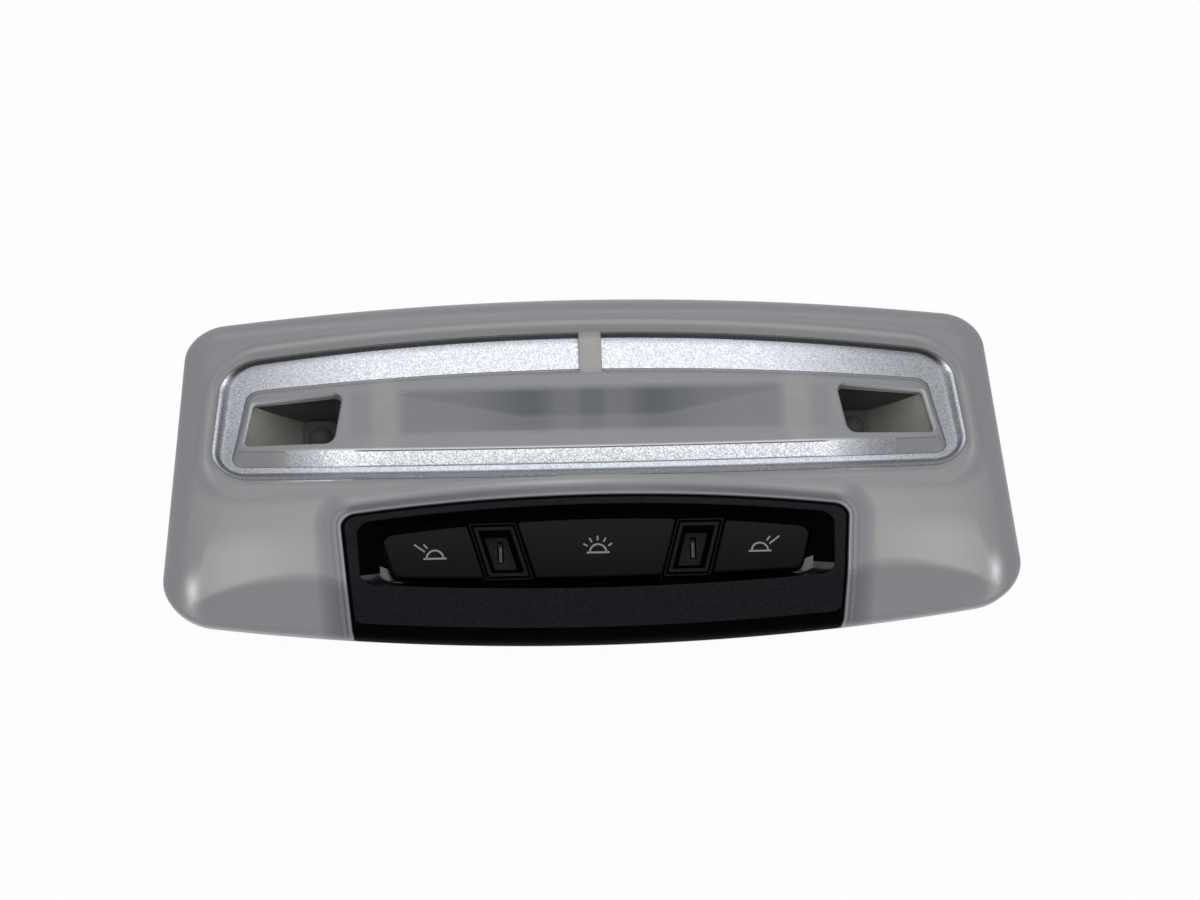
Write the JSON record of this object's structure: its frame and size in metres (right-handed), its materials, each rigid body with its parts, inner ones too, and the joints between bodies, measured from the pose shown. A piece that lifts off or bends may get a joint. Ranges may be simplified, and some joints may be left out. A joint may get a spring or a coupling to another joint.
{
  "type": "car dome light",
  "caption": "Rear dome light of a car: frosted lens with silver trim ring, reading windows and black push-key panel, on a housing that clips into the headliner.",
  "frame": {"origin": "centre of the face outline's box, on the plane that the housing's back rests on", "axes": "+X across the car along the lamp's length, +Y to the lamp's far edge (away from the keys), +Z out of the lens"},
  "size_m": [0.1784, 0.074, 0.0297],
  "materials": {
    "frosted_lens": "frosted grey moulding with a soft sheen",
    "silver_trim": "fine-grained bright silver",
    "gloss_black": "black, fine grain on the face and gloss in the scoop",
    "key_black": "soft dark grey",
    "light_guide": "clear moulded bar",
    "well_grey": "grey moulding",
    "clear_optic": "clear moulding",
    "light_source": "pale resin",
    "white_reflector": "white moulding",
    "board": "green solder mask",
    "switch_black": "black moulding",
    "plunger_white": "off-white moulding",
    "socket_white": "off-white moulding",
    "terminal_metal": "tinned brass",
    "housing_black": "plain moulding",
    "spring_steel": "sheet spring steel",
    "screw_steel": "plated steel"
  },
  "bodies": {
    "lamp": {"lens_cover": "frosted_lens", "trim_ring": "silver_trim", "switch_panel": "gloss_black", "port_frame_left": "gloss_black", "port_frame_right": "gloss_black", "light_pipe_left": "light_guide", "light_pipe_right": "light_guide", "reading_well_left": "well_grey", "reading_well_right": "well_grey", "reading_optic_left": "clear_optic", "reading_optic_right": "clear_optic", "reading_led_left": "light_source", "reading_led_right": "light_source", "dome_led_left": "light_source", "dome_led_right": "light_source", "port_led_left": "light_source", "port_led_right": "light_source", "diffuser_tray": "white_reflector", "circuit_board": "board", "switch_body_left": "switch_black", "switch_body_centre": "switch_black", "switch_body_right": "switch_black", "connector_shell": "socket_white", "terminal_1": "terminal_metal", "terminal_2": "terminal_metal", "terminal_3": "terminal_metal", "terminal_4": "terminal_metal", "terminal_5": "terminal_metal", "terminal_6": "terminal_metal", "rear_housing": "housing_black", "spring_clip_1": "spring_steel", "spring_clip_2": "spring_steel", "spring_clip_3": "spring_steel", "spring_clip_4": "spring_steel", "board_screw_1": "screw_steel", "board_screw_2": "screw_steel", "board_screw_3": "screw_steel", "board_screw_4": "screw_steel"},
    "key_left_group": {"key_left": "key_black", "switch_plunger_left": "plunger_white"},
    "key_centre_group": {"key_centre": "key_black", "switch_plunger_centre": "plunger_white"},
    "key_right_group": {"key_right": "key_black", "switch_plunger_right": "plunger_white"}
  },
  "joints": [
    {"name": "key_left_press", "type": "slide", "parent": "lamp", "child": "key_left_group", "axis": [0, 0, -1], "range_m": [0, 0.001], "stiffness_N_per_m": 2000, "springref_m": -0.0004},
    {"name": "key_centre_press", "type": "slide", "parent": "lamp", "child": "key_centre_group", "axis": [0, 0, -1], "range_m": [0, 0.001], "stiffness_N_per_m": 2000, "springref_m": -0.0004},
    {"name": "key_right_press", "type": "slide", "parent": "lamp", "child": "key_right_group", "axis": [0, 0, -1], "range_m": [0, 0.001], "stiffness_N_per_m": 2000, "springref_m": -0.0004}
  ]
}
